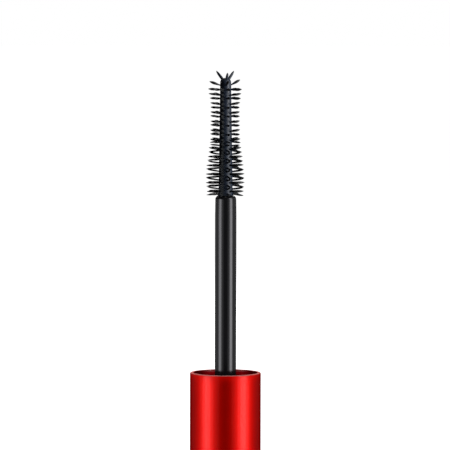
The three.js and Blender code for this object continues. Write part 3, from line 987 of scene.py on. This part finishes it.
def add_light(name, shape, width, height, radiance):
    """An evenly lit area that the camera doesn't see, at the origin. A disc has one width."""
    light = bpy.data.lights.new(name, "AREA")
    light.shape = shape
    light.size = width
    area = width * height
    if shape == "DISK":
        area *= math.pi / 4
    else:
        light.size_y = height
    light.energy = radiance * math.pi * area
    lamp = bpy.data.objects.new(name, light)
    bpy.context.scene.collection.objects.link(lamp)
    lamp.visible_camera = False
    return lamp


def add_strip(name, azimuth, radiance):
    """An upright strip that faces the object's axis. Azimuth is in degrees from the camera's side."""
    width = 2 * STRIP_DISTANCE * math.tan(math.radians(STRIP_STEP / 2))
    strip = add_light(name, "RECTANGLE", width, STRIP_HEIGHT, radiance)
    angle = math.radians(azimuth)
    strip.location = (STRIP_DISTANCE * math.sin(angle), -STRIP_DISTANCE * math.cos(angle), STRIP_MIDDLE)
    strip.rotation_euler = (math.pi / 2, 0, angle)


def add_softboxes():
    """Two curved softboxes of upright strips, each bright in its middle and dim towards its edges."""
    for side, centre, spread, peak in SOFTBOXES:
        for azimuth in STRIP_AZIMUTHS:
            glow = peak * math.exp(-(((azimuth - centre) / spread) ** 2))
            add_strip(f"strip_{side * azimuth}", side * azimuth, SOFTBOX_EDGE + glow)


def add_panels():
    """Two round panels: one high above lights the cap's inside, one behind lights the rim."""
    for name, y, z, radiance in PANELS:
        panel = add_light(name, "DISK", PANEL_SIZE, PANEL_SIZE, radiance)
        panel.location = (0, y, z)
        panel.rotation_euler = (-math.atan2(y, z), 0, 0)


def add_flag():
    """A black card that keeps the left softbox off the brush."""
    material, _, shader = new_material("flag_black", metallic=0.0)
    shader.inputs["Base Color"].default_value = (0.005, 0.005, 0.005, 1)
    shader.inputs["Roughness"].default_value = 1.0
    outward = Vector((math.sin(FLAG_AZIMUTH), -math.cos(FLAG_AZIMUTH), 0))
    along = Vector((math.cos(FLAG_AZIMUTH), math.sin(FLAG_AZIMUTH), 0)) * (FLAG_WIDTH / 2)
    low = SHOULDER_Z + FLAG_RISE
    corners = []
    for side, distance, rise in ((-1, FLAG_FOOT, 0), (1, FLAG_FOOT, 0), (1, FLAG_TOP, 1), (-1, FLAG_TOP, 1)):
        corner = outward * distance + along * side
        corners.append((corner.x, corner.y, low + rise * FLAG_HEIGHT))
    flag = flat_piece("flag", corners, material)
    flag.visible_camera = False


def make_world():
    """White behind the object for the camera, a dim room for everything else."""
    world = bpy.data.worlds.new("studio")
    bpy.context.scene.world = world
    world.use_nodes = True
    nodes = world.node_tree.nodes
    links = world.node_tree.links
    nodes.clear()
    path = nodes.new("ShaderNodeLightPath")
    room = nodes.new("ShaderNodeBackground")
    room.inputs["Color"].default_value = (1, 1, 1, 1)
    room.inputs["Strength"].default_value = ROOM_GLOW
    backdrop = nodes.new("ShaderNodeBackground")
    backdrop.inputs["Color"].default_value = (1, 1, 1, 1)
    backdrop.inputs["Strength"].default_value = 1.0
    mix = nodes.new("ShaderNodeMixShader")
    output = nodes.new("ShaderNodeOutputWorld")
    links.new(path.outputs["Is Camera Ray"], mix.inputs["Fac"])
    links.new(room.outputs["Background"], mix.inputs[1])
    links.new(backdrop.outputs["Background"], mix.inputs[2])
    links.new(mix.outputs["Shader"], output.inputs["Surface"])


def make_camera():
    """A long lens that looks down on the rim a little, with the photo's slight roll."""
    data = bpy.data.cameras.new("camera")
    camera = bpy.data.objects.new("camera", data)
    bpy.context.scene.collection.objects.link(camera)
    camera.location = (CAMERA_X, -CAMERA_DISTANCE, CAMERA_HEIGHT)
    gaze = Vector((CAMERA_X, 0, AIM_Z)) - camera.location
    roll = Quaternion((0, 0, 1), CAMERA_ROLL)
    camera.rotation_euler = (gaze.to_track_quat("-Z", "Y") @ roll).to_euler()
    data.sensor_width = SENSOR_WIDTH
    data.lens = SENSOR_WIDTH * gaze.length / FRAME_WIDTH
    data.clip_start = 0.01
    data.clip_end = 50
    bpy.context.scene.camera = camera


make_camera()
make_floor()
add_softboxes()
add_panels()
add_flag()
make_world()
bpy.context.scene.view_settings.view_transform = "Standard"

make_cap_shell()
make_pad()
make_weight()
make_insert()
make_washer()
make_stem()
make_brush()
